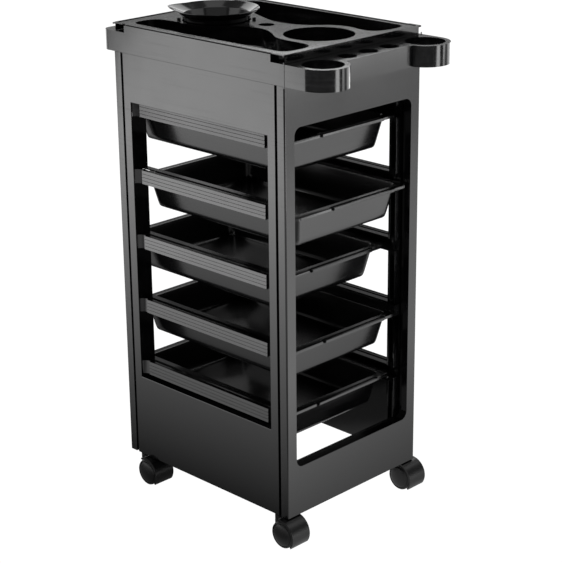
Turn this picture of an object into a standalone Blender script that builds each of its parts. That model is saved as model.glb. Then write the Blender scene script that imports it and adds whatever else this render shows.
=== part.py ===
"""Rolling salon trolley: end panels, ladder side panels, five trays, a top with holders, four casters.

Metres, +Z up. The front, where the dryer rings are, faces -Y. Everything is placed from the middle of the
body, which stands BODY_Y behind the middle of the whole object.
"""

import math

import bmesh
import bpy
from mathutils import Matrix, Vector

# Body
HALF_WIDTH = 0.161
HALF_DEPTH = 0.202
BODY_BOTTOM = 0.054
BODY_TOP = 0.792
WALL = 0.003
GAP = 0.0003

# End panels
END_THICK = 0.0165
END_OPENING_HALF_WIDTH = 0.1395
END_OPENING_BOTTOM = 0.141
END_OPENING_TOP = 0.723
END_OPENING_RADIUS = 0.014

# Side panels
SIDE_THICK = 0.033
SIDE_HALF_LENGTH = 0.181
SIDE_OPENING_HALF_LENGTH = 0.164
SIDE_OPENING_BOTTOM = 0.207
TONGUE_REACH = 0.009
TONGUE_DEPTH = 0.005
BAR_TOP_FIRST = 0.709
BAR_PITCH = 0.118
BAR_COUNT = 5
BAR_HEIGHT = 0.0245
BAR_RECESS = 0.007
RAIL_FLANGE = 0.0022
RIM_PASSAGE_DEPTH = 0.021
SLOT_INNER = 0.168
SLOT_OUTER = 0.177
SLOT_END = 0.005
LOWEST_SLOT_BOTTOM = 0.130

# Trays
TRAY_HALF_WIDTH = 0.137
TRAY_HALF_LENGTH = 0.1935
TRAY_HEIGHT = 0.058
TRAY_LIP_DROP = 0.005
TRAY_WALL = 0.0025
TRAY_SHIFTS = (0.018, -0.007, 0.042, 0.012, 0.027)

# Top frame
LEDGE_TOP = 0.827
RAISED_WALL_TOP = 0.839
RAISED_WALL_HALF_LENGTH = 0.173
TOP_OVERHANG = 0.0005
LEDGE_OPENING_HALF_WIDTH = 0.150
LEDGE_OPENING_HALF_LENGTH = 0.190
STRIP_REACH = 0.052
BACK_REACH = 0.030
BACK_CORNER_RADIUS = 0.016
RING_X = 0.123
RING_Y = -0.2455
RING_OUTER = 0.038
RING_INNER = 0.033
TOOL_HOLE_PITCH = 0.050
TOOL_HOLE_Y = -0.230
TOOL_HOLE_RADIUS = 0.016

# Top tray
TRAY_RIM_TOP = 0.8415
POCKET_FLOOR = 0.806
INSET_WALL = 0.0025
CUP_CENTRE = (-0.002, -0.125)
CUP_RADIUS = 0.0585
CLIP_CENTRE = (-0.003, -0.0055)
CLIP_RADIUS = 0.0135
BOWL_CENTRE = (-0.026, 0.091)
BOWL_POCKET_RADIUS = 0.0585
LEFT_POCKET = (
    (-0.143, -0.168), (-0.135, -0.182), (-0.112, -0.186), (-0.086, -0.182), (-0.075, -0.166),
    (-0.074, -0.128), (-0.068, -0.093), (-0.045, -0.058), (-0.032, -0.026), (-0.040, 0.010),
    (-0.066, 0.040), (-0.084, 0.066), (-0.088, 0.096), (-0.086, 0.140), (-0.094, 0.168),
    (-0.115, 0.176), (-0.136, 0.172), (-0.143, 0.158),
)
RIGHT_POCKET = (
    (0.143, -0.168), (0.143, 0.158), (0.136, 0.172), (0.112, 0.176), (0.082, 0.172), (0.068, 0.152),
    (0.062, 0.100), (0.046, 0.060), (0.034, 0.030), (0.025, 0.000), (0.027, -0.032), (0.042, -0.062),
    (0.067, -0.090), (0.075, -0.118), (0.070, -0.150), (0.072, -0.170), (0.086, -0.182), (0.112, -0.186),
    (0.135, -0.182),
)

# Tint bowl
BOWL_RADIUS = 0.057
BOWL_FOOT_RADIUS = 0.046
BOWL_FLANGE_RADIUS = 0.073
BOWL_NECK_TOP = 0.851
BOWL_FLANGE_TOP = 0.861
BOWL_WALL = 0.002
SPOUT_REACH = 0.016
SPOUT_ANGLE = math.radians(118)
SPOUT_HALF_ANGLE = math.radians(26)

# Casters
CASTER_X = 0.150
CASTER_Y = 0.172
CASTER_TRAIL = 0.021
WHEEL_RADIUS = 0.024
WHEEL_INNER_FACE = 0.005
WHEEL_OUTER_FACE = 0.022
HOOD_RADIUS = 0.0285
HOOD_WALL = 0.0032
HOOD_HALF_WIDTH = 0.0205
HOOD_WEB_HALF = 0.004
HOOD_TOP = 0.0515
BOSS_RADIUS = 0.009
STEM_RADIUS = 0.004
STEM_TOP = 0.088
SLEEVE_RADIUS = 0.0058
AXLE_RADIUS = 0.003
AXLE_HALF_LENGTH = 0.018

# Screws
SCREW_X = 0.147
SCREW_SHAFT_RADIUS = 0.0018
SCREW_HEAD_RADIUS = 0.0036
SCREW_HEAD_HEIGHT = 0.0025
PANEL_SCREW_HEIGHTS = (0.170, 0.750)
TOP_SCREW_X = 0.1538
TOP_SCREW_Y = 0.100
SCREW_BOSS_RADIUS = 0.0042

# The origin is halfway between the dryer rings and the tray that stands out furthest behind.
FRONT_REACH = RING_OUTER - RING_Y
REAR_REACH = TRAY_HALF_LENGTH + max(TRAY_SHIFTS)
BODY_Y = (FRONT_REACH - REAR_REACH) / 2

CURVE_STEPS = 32
SMALL_STEPS = 16


# ---------------------------------------------------------------- scene helpers


def clear_scene():
    for item in list(bpy.data.objects):
        bpy.data.objects.remove(item)


def new_collection(name):
    made = bpy.data.collections.new(name)
    bpy.context.scene.collection.children.link(made)
    return made


def make_material(name, colour, roughness, metallic=0.0):
    made = bpy.data.materials.new(name)
    made.use_nodes = True
    shader = made.node_tree.nodes["Principled BSDF"]
    shader.inputs["Base Color"].default_value = (*colour, 1.0)
    shader.inputs["Roughness"].default_value = roughness
    shader.inputs["Metallic"].default_value = metallic
    return made


clear_scene()
PARTS = new_collection("salon_trolley")
CUTTERS = new_collection("cutters")
ROOT = bpy.data.objects.new("body_middle", None)
ROOT.location = (0.0, BODY_Y, 0.0)
PARTS.objects.link(ROOT)

GLOSS_BLACK = make_material("gloss_black_plastic", (0.012, 0.012, 0.013), 0.18)
TRAY_BLACK = make_material("tray_black_plastic", (0.012, 0.012, 0.013), 0.24)
BOWL_BLACK = make_material("bowl_black_plastic", (0.014, 0.014, 0.015), 0.20)
CASTER_BLACK = make_material("caster_black_nylon", (0.015, 0.015, 0.016), 0.38)
ZINC = make_material("zinc_steel", (0.62, 0.62, 0.64), 0.30, 1.0)


def add_object(name, mesh, material, parent=ROOT, location=(0.0, 0.0, 0.0)):
    made = bpy.data.objects.new(name, mesh)
    if material and not mesh.materials:
        mesh.materials.append(material)
    made.parent = parent
    made.location = location
    PARTS.objects.link(made)
    return made


def add_empty(name, location):
    made = bpy.data.objects.new(name, None)
    made.parent = ROOT
    made.location = location
    PARTS.objects.link(made)
    return made


# ---------------------------------------------------------------- mesh helpers


def add_box(shape, low, high):
    centre = (Vector(low) + Vector(high)) / 2
    size = [abs(high[axis] - low[axis]) for axis in range(3)]
    matrix = Matrix.Translation(centre) @ Matrix.Diagonal((*size, 1.0))
    bmesh.ops.create_cube(shape, size=1.0, matrix=matrix)


def add_cylinder(shape, start, end, radius, steps=CURVE_STEPS):
    start, end = Vector(start), Vector(end)
    turn = (end - start).to_track_quat("Z", "Y").to_matrix().to_4x4()
    matrix = Matrix.Translation((start + end) / 2) @ turn
    length = (end - start).length
    bmesh.ops.create_cone(
        shape, cap_ends=True, segments=steps, radius1=radius, radius2=radius, depth=length, matrix=matrix
    )


def add_prism(shape, outline, low, high):
    """A flat outline of (x, y) points, run counter-clockwise, raised from low to high."""
    base = [shape.verts.new((x, y, low)) for x, y in outline]
    roof = [shape.verts.new((x, y, high)) for x, y in outline]
    shape.faces.new(base[::-1])
    shape.faces.new(roof)
    for index in range(len(base)):
        after = (index + 1) % len(base)
        shape.faces.new((base[index], base[after], roof[after], roof[index]))


def to_mesh(shape, name):
    mesh = bpy.data.meshes.new(name)
    shape.to_mesh(mesh)
    shape.free()
    return mesh


def shape_from(function, *arguments):
    shape = bmesh.new()
    function(shape, *arguments)
    return shape


def join(piece, operation, shape, name):
    """Cuts the shape from the piece, or adds it, with a Boolean; it sits in the piece's own space."""
    tool = bpy.data.objects.new(name, to_mesh(shape, name))
    tool.parent = piece.parent
    tool.location = piece.location
    tool.hide_render = True
    tool.display_type = "WIRE"
    CUTTERS.objects.link(tool)
    modifier = piece.modifiers.new(name, "BOOLEAN")
    modifier.operation = operation
    modifier.object = tool
    modifier.solver = "EXACT"


def cut(piece, shape, name):
    join(piece, "DIFFERENCE", shape, name)


def unite(piece, shape, name):
    join(piece, "UNION", shape, name)


def bake(piece):
    """Turns the piece's modifiers into its mesh, so that copies of the piece can share it."""
    bpy.context.view_layer.update()
    graph = bpy.context.evaluated_depsgraph_get()
    mesh = bpy.data.meshes.new_from_object(piece.evaluated_get(graph))
    mesh.name = piece.name
    bpy.data.objects.remove(piece)
    return mesh


def smooth_round(mesh, degrees=40):
    mesh.shade_smooth()
    mesh.set_sharp_from_angle(angle=math.radians(degrees))


def arc(centre, radius, start, end, steps):
    """Points on a circle from start to end degrees."""
    points = []
    for index in range(steps + 1):
        angle = math.radians(start + (end - start) * index / steps)
        points.append((centre[0] + radius * math.cos(angle), centre[1] + radius * math.sin(angle)))
    return points


def rounded_rectangle(half_x, half_y, radius, steps=4, middle=(0.0, 0.0)):
    points = []
    for sign_x, sign_y, start in ((1, 1, 0), (-1, 1, 90), (-1, -1, 180), (1, -1, 270)):
        centre = (middle[0] + sign_x * (half_x - radius), middle[1] + sign_y * (half_y - radius))
        points += arc(centre, radius, start, start + 90, steps)
    return points


def smooth_loop(points, steps=2):
    """A closed smooth curve through the points, with slopes weighed by how far apart they stand."""
    count = len(points)
    made = []
    for index in range(count):
        before, start, end, after = (Vector(points[(index + shift) % count]) for shift in (-1, 0, 1, 2))
        length = (end - start).length
        leave = (end - before) * length / (length + (start - before).length)
        arrive = (after - start) * length / (length + (after - end).length)
        for step in range(steps):
            t = step / steps
            place = (
                start * (2 * t**3 - 3 * t**2 + 1)
                + leave * (t**3 - 2 * t**2 + t)
                + end * (3 * t**2 - 2 * t**3)
                + arrive * (t**3 - t**2)
            )
            made.append((place.x, place.y))
    return made


def loft(rings):
    """A closed solid through rings of equal point counts, each a list of (x, y) and a height."""
    shape = bmesh.new()
    loops = [[shape.verts.new((x, y, height)) for x, y in outline] for outline, height in rings]
    for low, high in zip(loops, loops[1:]):
        for index in range(len(low)):
            after = (index + 1) % len(low)
            shape.faces.new((low[index], low[after], high[after], high[index]))
    shape.faces.new(loops[0][::-1])
    shape.faces.new(loops[-1])
    return shape


def turned(name, profile, material, steps=CURVE_STEPS, closed=False, parent=ROOT, location=(0.0, 0.0, 0.0)):
    """Turns a profile of (radius, height) points about Z with a Screw modifier."""
    shape = bmesh.new()
    points = [shape.verts.new((radius, 0.0, height)) for radius, height in profile]
    for start, end in zip(points, points[1:]):
        shape.edges.new((start, end))
    if closed:
        shape.edges.new((points[-1], points[0]))
    piece = add_object(name, to_mesh(shape, name), material, parent, location)
    screw = piece.modifiers.new("turn", "SCREW")
    screw.axis = "Z"
    screw.steps = steps
    screw.render_steps = steps
    screw.use_merge_vertices = True
    screw.merge_threshold = 0.00001
    screw.use_smooth_shade = True
    return piece


# ---------------------------------------------------------------- body


def bar_tops():
    return [BAR_TOP_FIRST - BAR_PITCH * index for index in range(BAR_COUNT)]


def end_opening(grow):
    """The rounded opening of an end panel, in (x, z), as a prism along Y."""
    middle = (0.0, (END_OPENING_TOP + END_OPENING_BOTTOM) / 2)
    half_height = (END_OPENING_TOP - END_OPENING_BOTTOM) / 2
    return rounded_rectangle(
        END_OPENING_HALF_WIDTH + grow, half_height + grow, END_OPENING_RADIUS + grow, 4, middle
    )


def add_upright_prism(shape, outline, near, far):
    """A prism of an (x, z) outline that runs along Y from near to far."""
    add_prism(shape, outline, -far, -near)
    bmesh.ops.rotate(shape, verts=shape.verts, matrix=Matrix.Rotation(math.radians(90), 3, "X"))


def end_panel(name, side):
    """side is -1 for the front and 1 for the rear."""
    outer = side * HALF_DEPTH
    inner = side * (HALF_DEPTH - END_THICK)
    past = side * (HALF_DEPTH - END_THICK - WALL)
    slab = shape_from(
        add_box, (-HALF_WIDTH, outer, BODY_BOTTOM), (HALF_WIDTH, inner, BODY_TOP)
    )
    piece = add_object(name, to_mesh(slab, name), GLOSS_BLACK)

    pocket = shape_from(
        add_box,
        (-HALF_WIDTH + WALL, outer - side * WALL, BODY_BOTTOM + WALL),
        (HALF_WIDTH - WALL, past, BODY_TOP - WALL),
    )
    pocket_tool = add_object(name + "_pocket", to_mesh(pocket, name + "_pocket"), None)
    near, far = sorted((outer + side * WALL, past - side * WALL))
    cut(pocket_tool, shape_from(add_upright_prism, end_opening(WALL), near, far), name + "_opening_wall")
    pocket_mesh = bake(pocket_tool)
    shape = bmesh.new()
    shape.from_mesh(pocket_mesh)
    cut(piece, shape, name + "_hollow")

    near, far = sorted((outer + side * WALL, past))
    cut(piece, shape_from(add_upright_prism, end_opening(0.0), near, far), name + "_opening")

    bosses = bmesh.new()
    holes = bmesh.new()
    boss_end = side * (SIDE_HALF_LENGTH + GAP)
    for x in (-SCREW_X, SCREW_X):
        for height in PANEL_SCREW_HEIGHTS:
            start = (x, outer - side * WALL / 2, height)
            add_cylinder(bosses, start, (x, boss_end, height), SCREW_BOSS_RADIUS, SMALL_STEPS)
            add_cylinder(
                holes,
                (x, outer - side * WALL * 2, height),
                (x, boss_end - side * WALL, height),
                SCREW_SHAFT_RADIUS + GAP,
                SMALL_STEPS,
            )
    unite(piece, bosses, name + "_bosses")
    cut(piece, holes, name + "_screw_holes")
    return piece


def side_box(shape, side, depths, ys, heights):
    """A box in a side panel: depths are counted inwards from the outer face."""
    near, far = (side * (HALF_WIDTH - depth) for depth in depths)
    add_box(shape, (near, ys[0], heights[0]), (far, ys[1], heights[1]))


def side_windows(side):
    """The openings between the bars and the narrow gap under the last one."""
    tops = bar_tops()
    shape = bmesh.new()
    floors = tops[1:] + [SIDE_OPENING_BOTTOM]
    for top, floor in zip(tops, floors):
        side_box(
            shape,
            side,
            (BAR_RECESS / 2, SIDE_THICK + WALL),
            (-SIDE_OPENING_HALF_LENGTH, SIDE_OPENING_HALF_LENGTH),
            (floor, top - BAR_HEIGHT),
        )
    return shape


def side_channels(side):
    """Each bar is a channel, open inwards, whose lower flange carries a tray's rim."""
    shape = bmesh.new()
    for top in bar_tops():
        heights = (top - BAR_HEIGHT + RAIL_FLANGE, top - RAIL_FLANGE)
        side_box(
            shape,
            side,
            (BAR_RECESS + WALL, SIDE_THICK + WALL),
            (-SIDE_OPENING_HALF_LENGTH, SIDE_OPENING_HALF_LENGTH),
            heights,
        )
    return shape


def side_passages(side):
    """Notches in the uprights that let the tray rims slide out at both ends."""
    shape = bmesh.new()
    for top in bar_tops():
        side_box(
            shape,
            side,
            (RIM_PASSAGE_DEPTH, SIDE_THICK + WALL),
            (-SIDE_HALF_LENGTH - WALL, SIDE_HALF_LENGTH + WALL),
            (top - BAR_HEIGHT + RAIL_FLANGE, top - RAIL_FLANGE),
        )
    return shape


def side_hollows(side):
    """The slots up the uprights, and the hollows behind the plain top and bottom of the panel."""
    tops = bar_tops()
    shape = bmesh.new()
    depths = (WALL, SIDE_THICK + WALL)
    spans = [(floor + SLOT_END, top - BAR_HEIGHT - SLOT_END) for top, floor in zip(tops, tops[1:])]
    spans.append((LOWEST_SLOT_BOTTOM, tops[-1] - BAR_HEIGHT - SLOT_END))
    spans.append((tops[0] + SLOT_END, BODY_TOP - SLOT_END - WALL))
    for sign in (-1, 1):
        for span in spans:
            side_box(shape, side, depths, (sign * SLOT_INNER, sign * SLOT_OUTER), span)
    inside = (-SIDE_OPENING_HALF_LENGTH, SIDE_OPENING_HALF_LENGTH)
    side_box(shape, side, depths, inside, (tops[0] + WALL, BODY_TOP - WALL))
    side_box(shape, side, depths, inside, (BODY_BOTTOM - WALL, SIDE_OPENING_BOTTOM - WALL))
    return shape


def side_holes(side):
    """Sockets for the caster sleeves, and screw holes into the end panels and the top."""
    shape = bmesh.new()
    hole = SCREW_SHAFT_RADIUS + GAP
    for sign in (-1, 1):
        socket = (side * CASTER_X, sign * CASTER_Y)
        start = (*socket, BODY_BOTTOM - WALL)
        add_cylinder(shape, start, (*socket, STEM_TOP + 2 * WALL), SLEEVE_RADIUS + GAP, SMALL_STEPS)
        for height in PANEL_SCREW_HEIGHTS:
            start = (side * SCREW_X, sign * (SLOT_OUTER - WALL), height)
            end = (side * SCREW_X, sign * (SIDE_HALF_LENGTH + WALL), height)
            add_cylinder(shape, start, end, hole, SMALL_STEPS)
        start = (side * TOP_SCREW_X, sign * TOP_SCREW_Y, BODY_TOP - 2 * WALL)
        end = (side * TOP_SCREW_X, sign * TOP_SCREW_Y, BODY_TOP + WALL)
        add_cylinder(shape, start, end, hole, SMALL_STEPS)
    return shape


def side_panel(name, side):
    """side is -1 for the left and 1 for the right."""
    slab = bmesh.new()
    side_box(slab, side, (0.0, SIDE_THICK), (-SIDE_HALF_LENGTH, SIDE_HALF_LENGTH), (BODY_BOTTOM, BODY_TOP))
    piece = add_object(name, to_mesh(slab, name), GLOSS_BLACK)

    tongue = bmesh.new()
    reach = SIDE_HALF_LENGTH + TONGUE_REACH
    side_box(
        tongue,
        side,
        (TONGUE_DEPTH, TONGUE_DEPTH + WALL - GAP),
        (-reach, reach),
        (BODY_BOTTOM + 2 * WALL, BODY_TOP - 2 * WALL),
    )
    unite(piece, tongue, name + "_tongues")

    recess = bmesh.new()
    side_box(
        recess,
        side,
        (-WALL, BAR_RECESS),
        (-SIDE_OPENING_HALF_LENGTH, SIDE_OPENING_HALF_LENGTH),
        (SIDE_OPENING_BOTTOM, BAR_TOP_FIRST),
    )
    cut(piece, recess, name + "_recess")
    cut(piece, side_windows(side), name + "_windows")
    cut(piece, side_channels(side), name + "_channels")
    cut(piece, side_passages(side), name + "_passages")
    cut(piece, side_hollows(side), name + "_hollows")
    cut(piece, side_holes(side), name + "_holes")
    return piece


# ---------------------------------------------------------------- trays


def tray_mesh():
    """A tapered tray whose rim turns down at its edge; its underside is at height 0."""
    width, length = TRAY_HALF_WIDTH, TRAY_HALF_LENGTH
    rim = TRAY_HEIGHT
    under = TRAY_HEIGHT - TRAY_WALL
    lip = TRAY_HEIGHT - TRAY_LIP_DROP

    def ring(inset, radius, height):
        return rounded_rectangle(width - inset, length - inset, radius), height

    rings = [
        ring(0.0290, 0.008, 0.0),
        ring(0.0240, 0.012, 0.0022),
        ring(0.0215, 0.014, 0.0080),
        ring(0.0125, 0.014, under),
        ring(0.0020, 0.011, under),
        ring(0.0020, 0.011, lip),
        ring(0.0, 0.013, lip),
        ring(0.0, 0.013, rim),
        ring(0.0150, 0.012, rim),
        ring(0.0240, 0.012, 0.0090),
        ring(0.0290, 0.008, TRAY_WALL),
    ]
    mesh = to_mesh(loft(rings), "tray")
    smooth_round(mesh)
    return mesh


def trays():
    shared = tray_mesh()
    for index, (top, shift) in enumerate(zip(bar_tops(), TRAY_SHIFTS)):
        lip = top - BAR_HEIGHT + RAIL_FLANGE + GAP
        underside = lip - TRAY_HEIGHT + TRAY_LIP_DROP
        add_object(f"drawer_{index + 1}", shared, TRAY_BLACK, location=(0.0, shift, underside))


# ---------------------------------------------------------------- top


def top_outline():
    """The top frame from above: the body, the strip and rings in front, and the ledge behind."""
    side = HALF_WIDTH + TOP_OVERHANG
    strip = -HALF_DEPTH - STRIP_REACH
    back = HALF_DEPTH + BACK_REACH
    turn = math.degrees(math.asin((RING_Y - strip) / RING_OUTER))
    corner = BACK_CORNER_RADIUS
    points = arc((side - corner, back - corner), corner, 0, 90, 4)
    points += arc((corner - side, back - corner), corner, 90, 180, 4)
    points += arc((-RING_X, RING_Y), RING_OUTER, 180, 360 - turn, 14)
    points += arc((RING_X, RING_Y), RING_OUTER, 180 + turn, 360, 14)
    return points


def top_frame():
    name = "top_frame"
    side = HALF_WIDTH + TOP_OVERHANG
    strip = -HALF_DEPTH - STRIP_REACH
    back = HALF_DEPTH + BACK_REACH
    bottom = BODY_TOP + GAP
    slab = shape_from(add_prism, top_outline(), bottom, LEDGE_TOP)
    piece = add_object(name, to_mesh(slab, name), GLOSS_BLACK)

    hollow = bmesh.new()
    strip_half = RING_X - RING_OUTER - WALL
    roof = LEDGE_TOP - WALL
    add_box(hollow, (-side + WALL, -HALF_DEPTH, bottom - WALL), (side - WALL, back - WALL, roof))
    add_box(hollow, (-strip_half, strip + WALL, bottom - WALL), (strip_half, -HALF_DEPTH - WALL, roof))
    cut(piece, hollow, name + "_hollow")

    walls = bmesh.new()
    for sign in (-1, 1):
        add_box(
            walls,
            (sign * side, -RAISED_WALL_HALF_LENGTH, LEDGE_TOP - WALL / 2),
            (sign * (side - WALL), RAISED_WALL_HALF_LENGTH, RAISED_WALL_TOP),
        )
        for y in (-TOP_SCREW_Y, TOP_SCREW_Y):
            place = (sign * TOP_SCREW_X, y)
            end = (*place, LEDGE_TOP - WALL / 2 - GAP)
            add_cylinder(walls, (*place, bottom), end, SCREW_BOSS_RADIUS, SMALL_STEPS)
    unite(piece, walls, name + "_walls")

    holes = bmesh.new()
    add_box(
        holes,
        (-LEDGE_OPENING_HALF_WIDTH, -LEDGE_OPENING_HALF_LENGTH, roof - WALL),
        (LEDGE_OPENING_HALF_WIDTH, LEDGE_OPENING_HALF_LENGTH, LEDGE_TOP + WALL),
    )
    for sign in (-1, 1):
        ring = (sign * RING_X, RING_Y)
        add_cylinder(holes, (*ring, bottom - WALL), (*ring, LEDGE_TOP + WALL), RING_INNER)
    for place in (-1, 0, 1):
        hole = (place * TOOL_HOLE_PITCH, TOOL_HOLE_Y)
        add_cylinder(holes, (*hole, roof - WALL), (*hole, LEDGE_TOP + WALL), TOOL_HOLE_RADIUS)
    cut(piece, holes, name + "_holes")

    pilots = bmesh.new()
    for sign in (-1, 1):
        for y in (-TOP_SCREW_Y, TOP_SCREW_Y):
            place = (sign * TOP_SCREW_X, y)
            end = (*place, bottom + 6 * WALL)
            add_cylinder(pilots, (*place, bottom - WALL), end, SCREW_SHAFT_RADIUS + GAP, SMALL_STEPS)
    cut(piece, pilots, name + "_pilots")
    return piece


def pocket_outlines():
    return {
        "left": smooth_loop(LEFT_POCKET),
        "right": smooth_loop(RIGHT_POCKET),
        "cup": arc(CUP_CENTRE, CUP_RADIUS, 0, 360, CURVE_STEPS)[:-1],
        "clip": arc(CLIP_CENTRE, CLIP_RADIUS, 0, 360, SMALL_STEPS)[:-1],
        "bowl": arc(BOWL_CENTRE, BOWL_POCKET_RADIUS, 0, 360, CURVE_STEPS)[:-1],
    }


def grow_outline(outline, amount):
    """Moves each point of a counter-clockwise outline outwards along its own normal."""
    count = len(outline)
    grown = []
    for index in range(count):
        before = Vector(outline[index - 1])
        after = Vector(outline[(index + 1) % count])
        run = (after - before).normalized()
        grown.append((outline[index][0] + run.y * amount, outline[index][1] - run.x * amount))
    return grown


def top_tray():
    name = "top_tray"
    rim_low = TRAY_RIM_TOP - WALL
    side = HALF_WIDTH + TOP_OVERHANG
    inner_side = side - WALL - 2 * GAP
    plate = bmesh.new()
    add_box(plate, (-inner_side, -HALF_DEPTH, LEDGE_TOP + GAP), (inner_side, HALF_DEPTH, TRAY_RIM_TOP))
    piece = add_object(name, to_mesh(plate, name), GLOSS_BLACK)

    tabs = bmesh.new()
    for sign in (-1, 1):
        ends = (sign * (RAISED_WALL_HALF_LENGTH + WALL), sign * (HALF_DEPTH - GAP))
        add_box(tabs, (-side, ends[0], rim_low), (side, ends[1], TRAY_RIM_TOP - GAP))
    unite(piece, tabs, name + "_tabs")

    under = bmesh.new()
    inner = inner_side - INSET_WALL
    reach = HALF_DEPTH - INSET_WALL
    add_box(under, (-inner, -reach, LEDGE_TOP - WALL), (inner, reach, rim_low))
    cut(piece, under, name + "_underside")

    for label, outline in pocket_outlines().items():
        wall = grow_outline(outline, INSET_WALL)
        tub = shape_from(add_prism, wall, POCKET_FLOOR - INSET_WALL, TRAY_RIM_TOP - WALL / 2)
        unite(piece, tub, f"{name}_{label}_tub")
    for label, outline in pocket_outlines().items():
        pocket = shape_from(add_prism, outline, POCKET_FLOOR, TRAY_RIM_TOP + WALL)
        cut(piece, pocket, f"{name}_{label}_pocket")
    return piece


def tint_bowl():
    """A turned bowl whose flange is drawn out to a pouring lip."""
    foot = POCKET_FLOOR + GAP
    profile = [
        (0.0, foot + BOWL_WALL),
        (BOWL_FOOT_RADIUS - BOWL_WALL, foot + BOWL_WALL),
        (BOWL_RADIUS - BOWL_WALL, BOWL_NECK_TOP),
        (BOWL_FLANGE_RADIUS - BOWL_WALL, BOWL_FLANGE_TOP),
        (BOWL_FLANGE_RADIUS, BOWL_FLANGE_TOP - BOWL_WALL / 2),
        (BOWL_RADIUS, BOWL_NECK_TOP - BOWL_WALL),
        (BOWL_FOOT_RADIUS, foot),
        (0.0, foot),
    ]
    place = (*BOWL_CENTRE, 0.0)
    piece = turned("tint_bowl_blank", profile, BOWL_BLACK, 48, location=place)
    mesh = bake(piece)
    for vertex in mesh.vertices:
        reach = math.hypot(vertex.co.x, vertex.co.y)
        if reach < BOWL_RADIUS + BOWL_WALL:
            continue
        angle = math.atan2(vertex.co.y, vertex.co.x) - SPOUT_ANGLE
        angle = math.atan2(math.sin(angle), math.cos(angle))
        nearness = max(0.0, 1 - abs(angle) / SPOUT_HALF_ANGLE)
        stretch = 1 + SPOUT_REACH * nearness / reach
        vertex.co.x *= stretch
        vertex.co.y *= stretch
    smooth_round(mesh)
    return add_object("tint_bowl", mesh, BOWL_BLACK, location=place)


# ---------------------------------------------------------------- casters


def hood_mesh():
    """The caster's cover, web and stem boss; the wheel axle is along X through the origin."""
    shell = shape_from(add_cylinder, (-HOOD_HALF_WIDTH, 0.0, 0.0), (HOOD_HALF_WIDTH, 0.0, 0.0), HOOD_RADIUS)
    piece = add_object("hood_blank", to_mesh(shell, "hood_blank"), CASTER_BLACK)
    wells = bmesh.new()
    for sign in (-1, 1):
        start = (sign * HOOD_WEB_HALF, 0.0, 0.0)
        end = (sign * (HOOD_HALF_WIDTH + WALL), 0.0, 0.0)
        add_cylinder(wells, start, end, HOOD_RADIUS - HOOD_WALL)
    cut(piece, wells, "hood_wells")

    reach = 2 * HOOD_RADIUS
    below = shape_from(add_box, (-WHEEL_RADIUS, -reach, -reach), (WHEEL_RADIUS, reach, 0.0))
    tilt = Matrix.Rotation(math.radians(22), 3, "X")
    bmesh.ops.rotate(below, verts=below.verts, matrix=tilt)
    bmesh.ops.translate(below, verts=below.verts, vec=(0.0, 0.0, -0.0115))
    cut(piece, below, "hood_mouth")

    boss_top = HOOD_TOP - WHEEL_RADIUS
    boss = shape_from(
        add_cylinder, (0.0, CASTER_TRAIL, boss_top - 0.024), (0.0, CASTER_TRAIL, boss_top), BOSS_RADIUS
    )
    unite(piece, boss, "hood_boss")
    reliefs = bmesh.new()
    for sign in (-1, 1):
        start = (sign * (HOOD_WEB_HALF + 0.0002), 0.0, 0.0)
        end = (sign * (HOOD_HALF_WIDTH + WALL), 0.0, 0.0)
        add_cylinder(reliefs, start, end, HOOD_RADIUS - HOOD_WALL - 0.0002)
    cut(piece, reliefs, "hood_reliefs")
    bores = bmesh.new()
    add_cylinder(bores, (-WHEEL_RADIUS, 0.0, 0.0), (WHEEL_RADIUS, 0.0, 0.0), AXLE_RADIUS + GAP, SMALL_STEPS)
    add_cylinder(
        bores,
        (0.0, CASTER_TRAIL, boss_top - 0.014),
        (0.0, CASTER_TRAIL, boss_top + WALL),
        STEM_RADIUS + GAP,
        SMALL_STEPS,
    )
    cut(piece, bores, "hood_bores")
    mesh = bake(piece)
    smooth_round(mesh)
    return mesh


def wheel_mesh():
    """One wheel, its outer face domed towards +Z and its inner face at height 0."""
    width = WHEEL_OUTER_FACE - WHEEL_INNER_FACE
    bore = AXLE_RADIUS + GAP
    bore_depth = AXLE_HALF_LENGTH - WHEEL_INNER_FACE + GAP
    profile = [
        (0.0, width),
        (0.011, width - 0.0007),
        (0.0195, width - 0.0030),
        (WHEEL_RADIUS - 0.001, width - 0.0042),
        (WHEEL_RADIUS, width - 0.0054),
        (WHEEL_RADIUS, 0.001),
        (WHEEL_RADIUS - 0.001, 0.0),
        (bore, 0.0),
        (bore, bore_depth),
        (0.0, bore_depth),
    ]
    return bake(turned("wheel_blank", profile, CASTER_BLACK, 24))


def axle_mesh():
    profile = [
        (0.0, AXLE_HALF_LENGTH),
        (AXLE_RADIUS, AXLE_HALF_LENGTH),
        (AXLE_RADIUS, -AXLE_HALF_LENGTH),
        (0.0, -AXLE_HALF_LENGTH),
    ]
    return bake(turned("axle_blank", profile, ZINC, SMALL_STEPS))


def stem_mesh():
    """A stem with its collar, from inside the boss to the top of the sleeve."""
    collar_low = HOOD_TOP + GAP
    collar_high = BODY_BOTTOM - GAP
    profile = [
        (0.0, STEM_TOP),
        (STEM_RADIUS, STEM_TOP),
        (STEM_RADIUS, collar_high),
        (0.0072, collar_high),
        (0.0072, collar_low),
        (STEM_RADIUS, collar_low),
        (STEM_RADIUS, HOOD_TOP - 0.0135),
        (0.0, HOOD_TOP - 0.0135),
    ]
    return bake(turned("stem_blank", profile, ZINC, SMALL_STEPS))


def sleeve_mesh():
    bore = STEM_RADIUS + GAP
    low = BODY_BOTTOM + GAP
    profile = [(SLEEVE_RADIUS, STEM_TOP), (SLEEVE_RADIUS, low), (bore, low), (bore, STEM_TOP)]
    return bake(turned("sleeve_blank", profile, ZINC, SMALL_STEPS, closed=True))


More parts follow.
